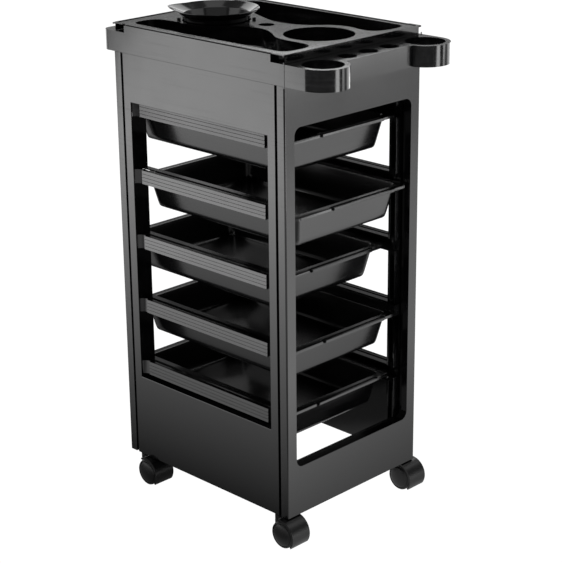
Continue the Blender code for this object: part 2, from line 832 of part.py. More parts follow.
def casters():
    hood, wheel, axle, stem, sleeve = hood_mesh(), wheel_mesh(), axle_mesh(), stem_mesh(), sleeve_mesh()
    corners = {"front_left": (-1, -1), "front_right": (1, -1), "rear_left": (-1, 1), "rear_right": (1, 1)}
    for corner, (side, end) in corners.items():
        swivel = add_empty(f"swivel_{corner}", (side * CASTER_X, end * CASTER_Y, 0.0))
        centre = (0.0, -CASTER_TRAIL, WHEEL_RADIUS)
        add_object(f"caster_sleeve_{corner}", sleeve, ZINC, swivel)
        add_object(f"caster_stem_{corner}", stem, ZINC, swivel)
        add_object(f"caster_hood_{corner}", hood, CASTER_BLACK, swivel, centre)
        shaft = add_object(f"caster_axle_{corner}", axle, ZINC, swivel, centre)
        shaft.rotation_euler = (0.0, math.radians(90), 0.0)
        for label, sign in (("left", -1), ("right", 1)):
            place = (sign * WHEEL_INNER_FACE, centre[1], centre[2])
            wheel_object = add_object(f"wheel_{corner}_{label}", wheel, CASTER_BLACK, swivel, place)
            wheel_object.rotation_euler = (0.0, math.radians(90 * sign), 0.0)


# ---------------------------------------------------------------- screws


def screw_mesh():
    """A pan-head screw that points along +Z, its head below height 0."""
    length = 0.015
    profile = [
        (0.0, length),
        (SCREW_SHAFT_RADIUS, length - 0.002),
        (SCREW_SHAFT_RADIUS, 0.0),
        (SCREW_HEAD_RADIUS, 0.0),
        (SCREW_HEAD_RADIUS, -0.0014),
        (SCREW_HEAD_RADIUS - 0.0012, -SCREW_HEAD_HEIGHT),
        (0.0, -SCREW_HEAD_HEIGHT),
    ]
    return bake(turned("screw_blank", profile, ZINC, 10))


def screws():
    shared = screw_mesh()
    names = {-1: "left", 1: "right"}
    ends = {-1: "front", 1: "rear"}
    for side, side_name in names.items():
        for end, end_name in ends.items():
            for height, level in zip(PANEL_SCREW_HEIGHTS, ("low", "high")):
                place = (side * SCREW_X, end * (SLOT_OUTER - GAP), height)
                piece = add_object(f"screw_{end_name}_{side_name}_{level}", shared, ZINC, location=place)
                piece.rotation_euler = (math.radians(-90 * end), 0.0, 0.0)
            place = (side * TOP_SCREW_X, end * TOP_SCREW_Y, BODY_TOP - WALL - GAP)
            add_object(f"screw_top_{side_name}_{end_name}", shared, ZINC, location=place)


end_panel("front_panel", -1)
end_panel("rear_panel", 1)
side_panel("left_side_panel", -1)
side_panel("right_side_panel", 1)
trays()
top_frame()
top_tray()
tint_bowl()
casters()
screws()
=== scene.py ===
"""The looks of the rolling salon trolley: its mouldings, their materials, a white studio and a camera.

Metres, +Z up, the front towards -Y. Meshes are made round the middle of the body, BODY_Y from the origin.
"""

import math

import bmesh
import bpy
from mathutils import Euler, Matrix, Vector

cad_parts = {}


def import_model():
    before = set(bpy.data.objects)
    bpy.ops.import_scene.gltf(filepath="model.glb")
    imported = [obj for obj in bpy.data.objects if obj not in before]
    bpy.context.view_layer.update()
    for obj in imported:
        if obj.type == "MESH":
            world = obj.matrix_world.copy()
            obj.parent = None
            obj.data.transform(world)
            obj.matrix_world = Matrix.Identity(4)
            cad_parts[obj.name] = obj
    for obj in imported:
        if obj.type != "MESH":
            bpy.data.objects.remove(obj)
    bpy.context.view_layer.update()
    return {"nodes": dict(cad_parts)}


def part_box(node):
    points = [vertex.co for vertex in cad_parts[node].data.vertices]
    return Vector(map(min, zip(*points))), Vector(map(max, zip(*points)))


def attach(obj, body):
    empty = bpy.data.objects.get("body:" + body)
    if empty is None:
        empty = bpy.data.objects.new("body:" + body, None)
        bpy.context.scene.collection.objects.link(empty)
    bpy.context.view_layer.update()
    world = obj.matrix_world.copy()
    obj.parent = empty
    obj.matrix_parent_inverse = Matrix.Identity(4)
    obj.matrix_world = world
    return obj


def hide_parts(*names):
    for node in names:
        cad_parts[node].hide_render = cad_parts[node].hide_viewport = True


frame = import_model()

# ---------------------------------------------------------------- sizes that come from the frame

FRONT_LOW, FRONT_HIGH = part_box("front_panel")
_, REAR_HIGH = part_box("rear_panel")
SIDE_LOW, SIDE_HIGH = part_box("right_side_panel")
TOP_LOW, TOP_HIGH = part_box("top_frame")
_, TRAY_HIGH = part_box("top_tray")
BOWL_LOW, BOWL_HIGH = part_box("tint_bowl")

BODY_Y = (FRONT_LOW.y + REAR_HIGH.y) / 2
HALF_WIDTH = FRONT_HIGH.x
HALF_DEPTH = REAR_HIGH.y - BODY_Y
BODY_BOTTOM = FRONT_LOW.z
BODY_TOP = FRONT_HIGH.z
SIDE_THICK = SIDE_HIGH.x - SIDE_LOW.x
SKIRT = TOP_HIGH.x
RIM_TOP = TRAY_HIGH.z

# ---------------------------------------------------------------- sizes of the mouldings

WALL = 0.003
THIN_WALL = 0.0025
GAP = 0.0003
MERGE = 0.00001  # vertices closer than this are one after a Boolean
SLIVER = 0.000004  # edges shorter than this are closed up when a shape is done
SHARP_ANGLE = 34

# End panels: the corners, the opening, the sill behind its lower edge, and the bosses with their bores.
END_THICK = 0.0165
END_CORNER = 0.0025
OPENING_HALF_WIDTH = 0.1395
OPENING_LOW = 0.141
OPENING_HIGH = 0.723
OPENING_RADIUS = 0.014
SILL_REACH = 0.006
BOSS_RADIUS = 0.0042
SCREW_BORE = 0.0021
SCREW_REACH = 0.007
SCREW_X = 0.147
SCREW_HEIGHTS = (0.170, 0.750)

# Side panels: the window, the slots in its uprights, and the tongues that enter the end panels.
SIDE_HALF_LENGTH = 0.1802
WINDOW_HALF_LENGTH = 0.164
WINDOW_LOW = 0.207
SLOT_MIDDLE = 0.1725
SLOT_HALF = 0.0045
SLOT_RADIUS = 0.0042
SLOT_END = 0.005
SLOT_LOW = 0.130
TONGUE_DEPTH = 0.008
TONGUE_REACH = 0.009
TONGUE_INSET = 0.006
STEM_BORE = 0.0061
STEM_BORE_TOP = 0.094

# Bars: ridged outside, with flanges that carry the trays; the pads end in gaps that sweep outwards.
BAR_TOPS = [0.709 - 0.118 * index for index in range(5)]
BAR_HEIGHT = 0.0245
RAIL_FLANGE = 0.0022
BAR_RECESS = 0.007
PAD_HALF_LENGTH = 0.1505
PAD_GAP_DEPTH = 0.0035
PAD_EDGE = 0.0006
BAR_END_STEP = 0.0004
BAR_END_ROOT = 0.0015
SWEEP_STEPS = 10
RIDGES = 4
RIDGE_LEAN = 0.00045
PASSAGE_DEPTH = 0.021

# Trays: half the width and length, the rim's height, and the stepped finger pull in each end of the rim.
TRAY_HALF_WIDTH = 0.137
TRAY_HALF_LENGTH = 0.1935
TRAY_RIM = 0.058
TRAY_LIP = 0.005
PULL_NEAR = 0.046
PULL_FAR = 0.103
PULL_NOTCH_FAR = 0.054
PULL_STEP = 0.0016

# Top frame: a ledge round the tray, raised side walls, two dryer rings and three tool holes.
LEDGE_TOP = 0.827
RAISED_TOP = 0.839
RAISED_HALF_LENGTH = 0.173
FRAME_CORNER = 0.016
FRAME_WELL = (0.150, 0.190)
SEAM_HALF = 0.0009
SEAM_DEPTH = 0.0012
STRIP_FRONT = -HALF_DEPTH - 0.052
RING_OUTER = 0.0415
RING_CENTRE = (SKIRT - RING_OUTER, -0.2455)
RING_INNER = 0.033
TOOL_HOLES = (-0.050, 0.0, 0.050)
TOOL_Y = -0.230
TOOL_RADIUS = 0.016

# Top tray: sunk pockets, corner notches, and two lugs by the bowl as (degrees round it, half a length).
POCKET_FLOOR = 0.806
POCKET_FILLET = 0.006
TRAY_BORDER = 0.0034
TRAY_CORNER = 0.004
WEB_DROP = 0.0008
NOTCH_HALF_WIDTH = 0.1475
NOTCH_WALL = 0.0022
NOTCH_ROOF = 0.0013
CUP_CENTRE = (-0.002, -0.125)
CUP_RADIUS = 0.0585
CLIP_CENTRE = (-0.003, -0.0055)
CLIP_RADIUS = 0.0135
BOWL_CENTRE = (-0.026, 0.091)
BOWL_POCKET_RADIUS = 0.0585
LUGS = ((135, 0.004), (-45, 0.007))
LUG_NEAR = 0.0605
LUG_FAR = 0.0665
LUG_ROOT = 0.002

# Bowl: the flange is drawn out to a lip, from LIP_START off the axis to the full reach LIP_RUN further out.
NECK = 0.851
LIP_ANGLE = 118
LIP_HALF_ANGLE = 26
LIP_START = 0.0575
LIP_RUN = 0.013
LIP_REACH = 0.0155
LIP_POWER = 1.15

# Casters: the wheels, the hood with its mouth turned MOUTH_TURN degrees, and the boss for the stem.
CASTER_PLACE = (0.150, 0.172)
CASTER_TRAIL = 0.021
WHEEL_RADIUS = 0.024
WHEEL_WIDTH = 0.017
WHEEL_INNER_FACE = 0.005
AXLE_BORE = 0.0033
HOOD_RADIUS = 0.0285
HOOD_WALL = 0.0032
HOOD_HALF_WIDTH = 0.0205
HOOD_WEB = 0.004
MOUTH_TURN = 49
MOUTH_RISE = 0.009
HOOD_SEAT = 0.0515
BOSS_LENGTH = 0.024
HOOD_BOSS_RADIUS = 0.009
HOOD_BORE = 0.0043
HOOD_BORE_DEPTH = 0.014

CORNERS = {"front_left": (-1, -1), "front_right": (1, -1), "rear_left": (-1, 1), "rear_right": (1, 1)}

# ---------------------------------------------------------------- studio settings

WHITE = 1.05
DIM = 0.25
HORIZON = (0.10, 0.17)  # the world falls from WHITE to DIM between these
PLAIN_SIZE = 40.0
TABLE_HEIGHT = 0.0008

# The light table's glows; a strip is (direction in degrees, half a width, strength).
LEFT_GLOW = 4.7
RIGHT_GLOW = 2.1
FAR_RIGHT_GLOW = 4.0
REAR_GLOW = 2.2
FRONT_GLOW = 1.0
BASE_GLOW = 0.16
STRIPS = ((-77.0, 0.70, 8.0), (9.0, 0.30, 2.5))

# The light panels round the trolley as (name, side, end, brightness), and the one overhead.
PANELS = (
    ("back_right", 1, 1, 2.4),
    ("back_left", -1, 1, 1.4),
    ("front_right", 1, -1, 1.0),
    ("front_left", -1, -1, 0.25),
)
PANEL_OUT = 1.1312
PANEL_HEIGHT = 2.0
PANEL_SIZE = (2.6, 1.5)
OVERHEAD_HEIGHT = 3.0
OVERHEAD_SIZE = (1.6, 1.6)
OVERHEAD_BRIGHTNESS = 0.9

SENSOR_WIDTH = 36.0
LENS = 105.6
CAMERA_SHIFT = -0.0346
CAMERA_PLACE = (-1.9165, BODY_Y - 1.9403, 1.3619)
CAMERA_TILT = 19.03
CAMERA_HEADING = -45.12
CAMERA_ROLL = -0.61


# ---------------------------------------------------------------- shapes


def add_box(shape, low, high):
    centre = (Vector(low) + Vector(high)) / 2
    size = [abs(high[axis] - low[axis]) for axis in range(3)]
    matrix = Matrix.Translation(centre) @ Matrix.Diagonal((*size, 1.0))
    bmesh.ops.create_cube(shape, size=1.0, matrix=matrix)


def add_cylinder(shape, start, end, radius, steps=48):
    start, end = Vector(start), Vector(end)
    turn = (end - start).to_track_quat("Z", "Y").to_matrix().to_4x4()
    matrix = Matrix.Translation((start + end) / 2) @ turn
    length = (end - start).length
    bmesh.ops.create_cone(
        shape, cap_ends=True, segments=steps, radius1=radius, radius2=radius, depth=length, matrix=matrix
    )


def add_prism(shape, outline, low, high, axis="Z"):
    """Raises a counter-clockwise outline from low to high along an axis.

    The outline is in (x, y) for Z, in (x, z) for Y and in (y, z) for X.
    """
    place = {
        "Z": lambda a, b, c: (a, b, c),
        "Y": lambda a, b, c: (a, c, b),
        "X": lambda a, b, c: (c, a, b),
    }[axis]
    base = [shape.verts.new(place(a, b, low)) for a, b in outline]
    roof = [shape.verts.new(place(a, b, high)) for a, b in outline]
    faces = [shape.faces.new(base[::-1]), shape.faces.new(roof)]
    for index in range(len(base)):
        after = (index + 1) % len(base)
        faces.append(shape.faces.new((base[index], base[after], roof[after], roof[index])))
    bmesh.ops.recalc_face_normals(shape, faces=faces)


def shape_from(function, *arguments, **options):
    shape = bmesh.new()
    function(shape, *arguments, **options)
    return shape


def arc(centre, radius, start, end, steps):
    """Points on a circle from start to end degrees."""
    points = []
    for index in range(steps + 1):
        angle = math.radians(start + (end - start) * index / steps)
        points.append((centre[0] + radius * math.cos(angle), centre[1] + radius * math.sin(angle)))
    return points


def circle(centre, radius, steps=64):
    return arc(centre, radius, 0, 360, steps)[:-1]


def rounded_rectangle(half_x, half_y, radius, steps=8, middle=(0.0, 0.0)):
    """A counter-clockwise outline with the same radius at its four corners."""
    points = []
    for sign_x, sign_y, start in ((1, 1, 0), (-1, 1, 90), (-1, -1, 180), (1, -1, 270)):
        centre = (middle[0] + sign_x * (half_x - radius), middle[1] + sign_y * (half_y - radius))
        points += arc(centre, radius, start, start + 90, steps)
    return points


def smooth_loop(points, steps=8):
    """A closed smooth curve through the points, with slopes weighed by how far apart they stand."""
    count = len(points)
    made = []
    for index in range(count):
        before, start, end, after = (Vector(points[(index + shift) % count]) for shift in (-1, 0, 1, 2))
        length = (end - start).length
        leave = (end - before) * length / (length + (start - before).length)
        arrive = (after - start) * length / (length + (after - end).length)
        for step in range(steps):
            t = step / steps
            place = (
                start * (2 * t**3 - 3 * t**2 + 1)
                + leave * (t**3 - 2 * t**2 + t)
                + end * (3 * t**2 - 2 * t**3)
                + arrive * (t**3 - t**2)
            )
            made.append((place.x, place.y))
    return made


def grow_outline(outline, amount):
    """Moves each point of a counter-clockwise outline outwards along its own normal."""
    count = len(outline)
    grown = []
    for index in range(count):
        run = (Vector(outline[(index + 1) % count]) - Vector(outline[index - 1])).normalized()
        grown.append((outline[index][0] + run.y * amount, outline[index][1] - run.x * amount))
    return grown


def loft(rings):
    """A closed solid through rings of equal point counts, each a list of points in space."""
    shape = bmesh.new()
    loops = [[shape.verts.new(point) for point in ring] for ring in rings]
    for low, high in zip(loops, loops[1:]):
        for index in range(len(low)):
            after = (index + 1) % len(low)
            shape.faces.new((low[index], low[after], high[after], high[index]))
    shape.faces.new(loops[0][::-1])
    shape.faces.new(loops[-1])
    bmesh.ops.recalc_face_normals(shape, faces=shape.faces)
    return shape


def turned(profile, steps=64):
    """Turns (radius, height) points about Z into a solid, if the profile starts and ends at radius 0."""
    shape = bmesh.new()
    rings = []
    for radius, height in profile:
        if radius == 0.0:
            rings.append([shape.verts.new((0.0, 0.0, height))])
            continue
        rings.append([shape.verts.new((x, y, height)) for x, y in circle((0.0, 0.0), radius, steps)])
    for low, high in zip(rings, rings[1:]):
        for index in range(steps):
            after = (index + 1) % steps
            near = [low[index % len(low)], low[after % len(low)]]
            far = [high[after % len(high)], high[index % len(high)]]
            shape.faces.new(list(dict.fromkeys(near + far)))
    bmesh.ops.recalc_face_normals(shape, faces=shape.faces)
    return shape


# ---------------------------------------------------------------- modifiers, run at once


def work_object(shape):
    mesh = bpy.data.meshes.new("work")
    shape.to_mesh(mesh)
    shape.free()
    made = bpy.data.objects.new("work", mesh)
    bpy.context.scene.collection.objects.link(made)
    return made


def evaluated(piece, *others):
    """The piece with its modifiers run, as a bmesh; the piece and the others are then removed."""
    bpy.context.view_layer.update()
    graph = bpy.context.evaluated_depsgraph_get()
    mesh = bpy.data.meshes.new_from_object(piece.evaluated_get(graph))
    shape = bmesh.new()
    shape.from_mesh(mesh)
    bpy.data.meshes.remove(mesh)
    for item in (piece, *others):
        bpy.data.objects.remove(item)
    return shape


def carve(base, *steps):
    """Runs Boolean steps, each an operation and a shape, then splits the concave faces that they leave."""
    piece = work_object(base)
    tools = []
    for operation, shape in steps:
        tool = work_object(shape)
        modifier = piece.modifiers.new("step", "BOOLEAN")
        modifier.operation = operation
        modifier.object = tool
        modifier.solver = "EXACT"
        tools.append(tool)
    made = evaluated(piece, *tools)
    bmesh.ops.remove_doubles(made, verts=made.verts, dist=MERGE)
    bmesh.ops.connect_verts_concave(made, faces=made.faces)
    return made


def soften(shape, width, segments=2, angle=38):
    """Rounds every edge sharper than the angle."""
    piece = work_object(shape)
    modifier = piece.modifiers.new("soften", "BEVEL")
    modifier.width = width
    modifier.segments = segments
    modifier.limit_method = "ANGLE"
    modifier.angle_limit = math.radians(angle)
    modifier.miter_outer = "MITER_ARC"
    return evaluated(piece)


def add_piece(name, shape, material, body, nodes, matrix=None):
    """Puts a finished shape in the scene, riding on its body in place of CAD nodes."""
    bmesh.ops.dissolve_degenerate(shape, dist=SLIVER, edges=shape.edges)
    mesh = bpy.data.meshes.new(name)
    shape.to_mesh(mesh)
    shape.free()
    mesh.shade_smooth()
    mesh.set_sharp_from_angle(angle=math.radians(SHARP_ANGLE))
    mesh.materials.append(material)
    piece = bpy.data.objects.new(name, mesh)
    bpy.context.scene.collection.objects.link(piece)
    piece.matrix_world = Matrix.Translation((0.0, BODY_Y, 0.0)) @ (matrix or Matrix.Identity(4))
    weigh = piece.modifiers.new("flat_faces_first", "WEIGHTED_NORMAL")
    weigh.keep_sharp = True
    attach(piece, body)
    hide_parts(*nodes)
    return piece


# ---------------------------------------------------------------- materials


def add_node(tree, kind, **settings):
    node = tree.nodes.new(kind)
    for name, value in settings.items():
        if name in node.inputs:
            node.inputs[name].default_value = value
        else:
            setattr(node, name, value)
    return node


def ramp_between(tree, source, low, high, to_low, to_high):
    node = add_node(tree, "ShaderNodeMapRange")
    for name, value in (("From Min", low), ("From Max", high), ("To Min", to_low), ("To Max", to_high)):
        node.inputs[name].default_value = value
    tree.links.new(source, node.inputs["Value"])
    return node.outputs["Result"]


def combine(tree, operation, *values):
    """A maths node on sockets and plain numbers."""
    node = add_node(tree, "ShaderNodeMath", operation=operation)
    for socket, value in zip(node.inputs, values):
        if isinstance(value, float):
            socket.default_value = value
        else:
            tree.links.new(value, socket)
    return node.outputs["Value"]


def noise(tree, place, scale, detail, roughness=0.5):
    """Noise read at a place, by its Fac socket."""
    node = add_node(tree, "ShaderNodeTexNoise", Scale=scale, Detail=detail, Roughness=roughness)
    tree.links.new(place, node.inputs["Vector"])
    return node.outputs["Fac"]


def tint(tree, shader, factor, first, second):
    """Runs the base colour from the first to the second colour."""
    mix = add_node(tree, "ShaderNodeMix", data_type="RGBA")
    mix.inputs["A"].default_value = (*first, 1.0)
    mix.inputs["B"].default_value = (*second, 1.0)
    tree.links.new(factor, mix.inputs["Factor"])
    tree.links.new(mix.outputs["Result"], shader.inputs["Base Color"])


def emboss(tree, shader, height, strength, distance):
    """Bumps the shader's normal by a height."""
    bump = add_node(tree, "ShaderNodeBump", Strength=strength, Distance=distance)
    tree.links.new(height, bump.inputs["Height"])
    tree.links.new(bump.outputs["Normal"], shader.inputs["Normal"])


def plastic(name, colour, worn_colour, roughness, scuff, peel, ior=1.45):
    """Moulded plastic: cloudy handling marks, fine crossed scratches, faint orange peel and rubbed edges."""
    made = bpy.data.materials.new(name)
    made.use_nodes = True
    tree = made.node_tree
    shader = tree.nodes["Principled BSDF"]
    shader.inputs["IOR"].default_value = ior
    place = add_node(tree, "ShaderNodeTexCoord").outputs["Object"]

    marks = []
    for turn in (0.5, 1.9, 2.7):
        mapping = add_node(tree, "ShaderNodeMapping")
        mapping.inputs["Rotation"].default_value = (turn, turn * 0.7, turn * 1.3)
        mapping.inputs["Scale"].default_value = (5.0, 5.0, 420.0)
        tree.links.new(place, mapping.inputs["Vector"])
        lines = noise(tree, mapping.outputs["Vector"], 1.0, 2.0, 0.4)
        marks.append(ramp_between(tree, lines, 0.64, 0.72, 0.0, 1.0))
    scratches = combine(tree, "MAXIMUM", combine(tree, "MAXIMUM", marks[0], marks[1]), marks[2])
    clouds = noise(tree, place, 9.0, 5.0, 0.6)
    base_rough = ramp_between(tree, clouds, 0.35, 0.70, roughness * 0.85, roughness * 1.2)
    rough = combine(tree, "MULTIPLY_ADD", scratches, scuff, base_rough)
    tree.links.new(rough, shader.inputs["Roughness"])

    edges = add_node(tree, "ShaderNodeNewGeometry").outputs["Pointiness"]
    rubbed = ramp_between(tree, edges, 0.56, 0.66, 0.0, 0.5)
    speckle = ramp_between(tree, noise(tree, place, 160.0, 3.0, 0.7), 0.40, 0.62, 0.0, 1.0)
    tint(tree, shader, combine(tree, "MULTIPLY", rubbed, speckle), colour, worn_colour)

    grain = noise(tree, place, 520.0, 2.0)
    swell = noise(tree, place, 14.0, 1.0, 0.4)
    emboss(tree, shader, combine(tree, "MULTIPLY_ADD", swell, 14.0, grain), peel, 0.0002)
    return made


def zinc_plate(name):
    """Bright zinc plate with a brushed, slightly mottled surface."""
    made = bpy.data.materials.new(name)
    made.use_nodes = True
    tree = made.node_tree
    shader = tree.nodes["Principled BSDF"]
    shader.inputs["Metallic"].default_value = 1.0
    place = add_node(tree, "ShaderNodeTexCoord").outputs["Object"]
    mottle = noise(tree, place, 260.0, 4.0, 0.6)
    tint(tree, shader, mottle, (0.46, 0.47, 0.50), (0.78, 0.77, 0.74))
    tree.links.new(ramp_between(tree, mottle, 0.3, 0.7, 0.18, 0.34), shader.inputs["Roughness"])
    emboss(tree, shader, noise(tree, place, 1400.0, 1.0), 0.15, 0.0001)
    return made


BLACK = (0.0015, 0.0015, 0.0017)
WORN_BLACK = (0.02, 0.02, 0.021)
NYLON = (0.002, 0.002, 0.0022)
WORN_NYLON = (0.02, 0.02, 0.02)
BODY_PLASTIC = plastic("gloss_black_plastic", BLACK, WORN_BLACK, roughness=0.13, scuff=0.05, peel=0.06)
TRAY_PLASTIC = plastic("tray_black_plastic", BLACK, WORN_BLACK, roughness=0.17, scuff=0.07, peel=0.08)
BOWL_PLASTIC = plastic("bowl_black_plastic", BLACK, WORN_BLACK, roughness=0.12, scuff=0.06, peel=0.06)
CASTER_PLASTIC = plastic(
    "caster_black_nylon", NYLON, WORN_NYLON, roughness=0.30, scuff=0.10, peel=0.25, ior=1.40
)
ZINC = zinc_plate("zinc_steel")


# ---------------------------------------------------------------- end panels


def end_panel(name, side):
    """side is -1 for the front and 1 for the rear."""
    outer = side * HALF_DEPTH
    inner = side * (HALF_DEPTH - END_THICK)
    past = side * (HALF_DEPTH - END_THICK - WALL)
    corner_x, corner_y = HALF_WIDTH - END_CORNER, HALF_DEPTH - END_CORNER
    outline = arc((corner_x, corner_y), END_CORNER, 0, 90, 6)
    outline += arc((-corner_x, corner_y), END_CORNER, 90, 180, 6)
    outline += [(-HALF_WIDTH, abs(inner)), (HALF_WIDTH, abs(inner))]
    if side < 0:
        outline = [(-x, -y) for x, y in outline]
    slab = shape_from(add_prism, outline, BODY_BOTTOM, BODY_TOP)

    opening_middle = (0.0, (OPENING_HIGH + OPENING_LOW) / 2)
    opening_half_height = (OPENING_HIGH - OPENING_LOW) / 2

    def opening(grow, near, far):
        outline = rounded_rectangle(
            OPENING_HALF_WIDTH + grow, opening_half_height + grow, OPENING_RADIUS + grow, 10, opening_middle
        )
        return shape_from(add_prism, outline, *sorted((near, far)), axis="Y")

    pocket = shape_from(
        add_box,
        (-HALF_WIDTH + WALL, outer - side * WALL, BODY_BOTTOM + WALL),
        (HALF_WIDTH - WALL, past, BODY_TOP - WALL),
    )
    pocket = carve(pocket, ("DIFFERENCE", opening(WALL, outer + side * WALL, past - side * WALL)))
    bosses, holes = bmesh.new(), bmesh.new()
    for x in (-SCREW_X, SCREW_X):
        for height in SCREW_HEIGHTS:
            end = (x, side * (SIDE_HALF_LENGTH + GAP), height)
            add_cylinder(bosses, (x, outer - side * WALL / 2, height), end, BOSS_RADIUS, 24)
            end = (x, side * (SIDE_HALF_LENGTH - WALL), height)
            add_cylinder(holes, (x, outer - side * 2 * WALL, height), end, SCREW_BORE, 16)
    low = (-OPENING_HALF_WIDTH + OPENING_RADIUS, inner - side * WALL / 2, OPENING_LOW - WALL)
    sill = shape_from(add_box, low, (-low[0], inner - side * SILL_REACH, OPENING_LOW))
    shape = carve(
        slab,
        ("DIFFERENCE", pocket),
        ("DIFFERENCE", opening(0.0, outer + side * WALL, past)),
        ("UNION", sill),
        ("UNION", bosses),
        ("DIFFERENCE", holes),
    )
    shape = soften(shape, width=0.0009, segments=3)
    add_piece(f"{name}_moulding", shape, BODY_PLASTIC, "cabinet", [name])


# ---------------------------------------------------------------- side panels


def bar_profile(plain_top):
    """A bar's section as (depth from the outer face, height from the bar's top), with four ridges outside.

    The lower flange carries a tray's rim; the top has a fine groove and a trough unless plain_top is set.
    """
    face = BAR_RECESS
    pitch = BAR_HEIGHT / RIDGES
    points = [(face + 0.0008, -BAR_HEIGHT)]
    for index in range(RIDGES):
        foot = -BAR_HEIGHT + pitch * index
        points += [
            (face, foot + 0.0006),
            (face + RIDGE_LEAN, foot + pitch - 0.0003),
            (face + 0.0014, foot + pitch),
        ]
    points.pop()
    web = face + WALL
    under = -RAIL_FLANGE
    if plain_top:
        points += [(face + RIDGE_LEAN, 0.0006), (SIDE_THICK, 0.0006), (SIDE_THICK, under), (web, under)]
    else:
        points += [
            (face + 0.0008, 0.0),
            (web, 0.0),
            (web + 0.0005, -0.0022),
            (web + 0.0017, -0.0022),
            (web + 0.0022, -0.0004),
            (web + 0.0055, -0.0004),
            (web + 0.0062, -0.0050),
            (web + 0.0112, -0.0050),
            (web + 0.0118, 0.0),
            (SIDE_THICK - 0.0006, 0.0),
            (SIDE_THICK, -0.0006),
            (SIDE_THICK, under),
            (web + 0.0140, under),
            (web + 0.0130, -0.0072),
            (web + 0.0044, -0.0072),
            (web + 0.0038, -0.0044),
            (web, -0.0044),
        ]
    floor = -BAR_HEIGHT + RAIL_FLANGE
    points += [
        (web, floor),
        (SIDE_THICK, floor),
        (SIDE_THICK, -BAR_HEIGHT + 0.0004),
        (SIDE_THICK - 0.0004, -BAR_HEIGHT),
    ]
    return points


def bar(side, top, plain_top):
    """A bar between the uprights: its ridged pad ends in a sunk gap, which sweeps out to the upright."""
    reach = WINDOW_HALF_LENGTH - PAD_HALF_LENGTH
    rise = BAR_RECESS - BAR_END_STEP
    stations = [(PAD_HALF_LENGTH - PAD_EDGE, 0.0, 1.0)]
    for step in range(SWEEP_STEPS + 1):
        angle = math.radians(90 * step / SWEEP_STEPS)
        out = (rise + PAD_GAP_DEPTH) * (1 - math.cos(angle)) - PAD_GAP_DEPTH
        stations.append((PAD_HALF_LENGTH + reach * math.sin(angle), out, 0.0))
    stations.append((WINDOW_HALF_LENGTH + BAR_END_ROOT, rise, 0.0))
    stations = [(-y, out, ridged) for y, out, ridged in reversed(stations)] + stations
    profile = bar_profile(plain_top)
    skin, fade = 0.0015, 0.010
    rings = []
    for y, out, ridged in stations:
        ring = []
        for depth, height in profile:
            share = max(0.0, 1 - max(0.0, depth - BAR_RECESS - WALL) / fade)
            if depth < BAR_RECESS + skin:
                depth = BAR_RECESS + (depth - BAR_RECESS) * ridged
                share = 1.0
            ring.append((side * (HALF_WIDTH - depth + out * share), y, top + height))
        rings.append(ring)
    return loft(rings)


def side_box(shape, side, depths, ys, heights):
    """A box in a side panel: depths are counted inwards from the outer face."""
    near, far = (side * (HALF_WIDTH - depth) for depth in depths)
    add_box(shape, (near, ys[0], heights[0]), (far, ys[1], heights[1]))


def side_prism(side, outlines, depths):
    """Prisms of (y, z) outlines that run across a side panel between two depths."""
    near, far = sorted(side * (HALF_WIDTH - depth) for depth in depths)
    shape = bmesh.new()
    for outline in outlines:
        add_prism(shape, outline, near, far, axis="X")
    return shape


def upright_slots():
    """The long slots between the bars in both uprights, as (y, z) outlines."""
    spans = [(low + SLOT_END, high - BAR_HEIGHT - SLOT_END) for high, low in zip(BAR_TOPS, BAR_TOPS[1:])]
    spans.append((SLOT_LOW, BAR_TOPS[-1] - BAR_HEIGHT - SLOT_END))
    spans.append((BAR_TOPS[0] + SLOT_END, BODY_TOP - SLOT_END - WALL))
    outlines = []
    for sign in (-1, 1):
        for low, high in spans:
            middle = (sign * SLOT_MIDDLE, (low + high) / 2)
            outlines.append(rounded_rectangle(SLOT_HALF, (high - low) / 2, SLOT_RADIUS, 6, middle))
    return outlines


def side_holes(side):
    """Bores for the caster stems from below, and for the screws from both ends."""
    shape = bmesh.new()
    x = side * SCREW_X
    for sign in (-1, 1):
        place = (side * CASTER_PLACE[0], sign * CASTER_PLACE[1])
        add_cylinder(shape, (*place, BODY_BOTTOM - WALL), (*place, STEM_BORE_TOP), STEM_BORE, 32)
        for height in SCREW_HEIGHTS:
            start = (x, sign * (SIDE_HALF_LENGTH - SCREW_REACH), height)
            add_cylinder(shape, start, (x, sign * (SIDE_HALF_LENGTH + WALL), height), SCREW_BORE, 16)
    return shape


